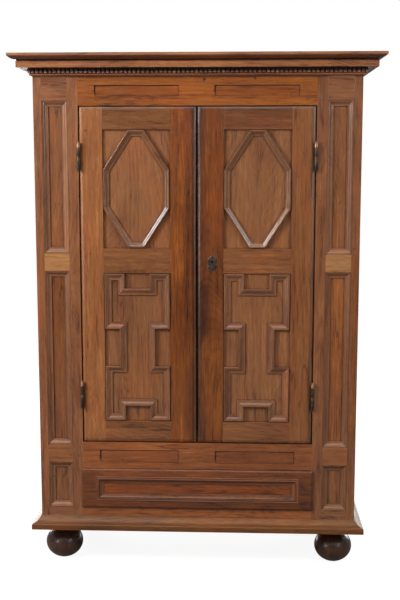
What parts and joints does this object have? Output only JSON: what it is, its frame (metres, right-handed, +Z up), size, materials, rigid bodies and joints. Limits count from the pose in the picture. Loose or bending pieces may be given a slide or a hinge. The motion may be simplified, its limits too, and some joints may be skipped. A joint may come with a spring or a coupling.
{
  "type": "linen press",
  "caption": "Tall panelled oak linen press with two hinged doors over shelves, a long lipped drawer below, a stepped crown and round bun feet.",
  "frame": {"origin": "on the floor, under the middle of the bounding box", "axes": "+Z up, +X to the right of someone who faces the doors, -Y out of the front"},
  "size_m": [1.332, 0.596, 1.9],
  "materials": {
    "oak_frame": "satin oiled oak",
    "oak_frieze": "satin oiled oak",
    "oak_rail": "satin oiled oak",
    "oak_light": "satin pale oak",
    "oak_panel": "satin oiled oak",
    "oak_door": "satin oiled oak",
    "oak_door_panel": "satin oiled oak",
    "oak_moulding": "satin dark oak",
    "oak_crown": "satin dark oak",
    "oak_teeth": "satin oiled oak",
    "oak_base": "satin oiled oak",
    "oak_drawer": "satin oiled oak",
    "ebonised": "glossy black-brown stain",
    "pine": "dry old softwood",
    "iron": "dark wrought iron",
    "bright_iron": "worn bright iron"
  },
  "bodies": {
    "carcass": {"bun_feet": "ebonised", "base_long_rails": "pine", "base_side_rails": "pine", "base_moulding_front": "oak_base", "base_moulding_returns": "oak_base", "bottom_boards": "pine", "left_corner_stile": "oak_frame", "right_corner_stile": "oak_frame", "left_inner_stile": "oak_frame", "right_inner_stile": "oak_frame", "pilaster_rails": "oak_frame", "pilaster_blocks": "oak_light", "pilaster_panels": "oak_panel", "left_pilaster_mouldings": "oak_moulding", "right_pilaster_mouldings": "oak_moulding", "frieze_rail": "oak_frieze", "lower_rail": "oak_rail", "bottom_rail": "oak_rail", "rear_posts": "oak_frame", "side_rails": "oak_frame", "side_panels": "oak_panel", "back_rails": "pine", "back_boards": "pine", "top_boards": "pine", "cupboard_floor": "pine", "shelves": "pine", "shelf_cleats": "pine", "drawer_runners": "pine", "cornice_front": "oak_crown", "cornice_returns": "oak_crown", "cornice_rear_rail": "pine", "dentil_course": "oak_teeth", "bed_moulding": "oak_teeth", "frame_hinge_leaves": "iron"},
    "left_door": {"left_hinge_stile": "oak_door", "left_meeting_stile": "oak_door", "left_door_rails": "oak_door", "left_door_panels": "oak_door_panel", "left_octagon_moulding": "oak_moulding", "left_stepped_moulding": "oak_moulding", "left_door_hinge_leaves": "iron", "lock_keeper": "iron", "door_bolt_guides": "iron"},
    "right_door": {"right_hinge_stile": "oak_door", "right_meeting_stile": "oak_door", "right_door_rails": "oak_door", "right_door_panels": "oak_door_panel", "right_octagon_moulding": "oak_moulding", "right_stepped_moulding": "oak_moulding", "right_door_hinge_leaves": "iron", "escutcheon": "iron", "lock_case": "iron"},
    "drawer": {"drawer_front": "oak_drawer", "drawer_moulding": "oak_moulding", "drawer_sides": "pine", "drawer_back": "pine", "drawer_bottom": "pine"},
    "top_bolt": {"top_bolt": "bright_iron"},
    "bottom_bolt": {"bottom_bolt": "bright_iron"},
    "lock_bolt": {"lock_bolt": "bright_iron"}
  },
  "joints": [
    {"name": "left_door_hinge", "type": "hinge", "parent": "carcass", "child": "left_door", "pos_m": [-0.4275, -0.2295, 0.477], "axis": [0, 0, -1], "range_deg": [0, 165]},
    {"name": "right_door_hinge", "type": "hinge", "parent": "carcass", "child": "right_door", "pos_m": [0.4275, -0.2295, 0.477], "axis": [0, 0, 1], "range_deg": [0, 165]},
    {"name": "drawer_slide", "type": "slide", "parent": "carcass", "child": "drawer", "axis": [0, -1, 0], "range_m": [0, 0.33]},
    {"name": "lock_bolt_slide", "type": "slide", "parent": "right_door", "child": "lock_bolt", "axis": [-1, 0, 0], "range_m": [0, 0.016]},
    {"name": "top_bolt_slide", "type": "slide", "parent": "left_door", "child": "top_bolt", "axis": [0, 0, 1], "range_m": [0, 0.024]},
    {"name": "bottom_bolt_slide", "type": "slide", "parent": "left_door", "child": "bottom_bolt", "axis": [0, 0, -1], "range_m": [0, 0.024]}
  ]
}
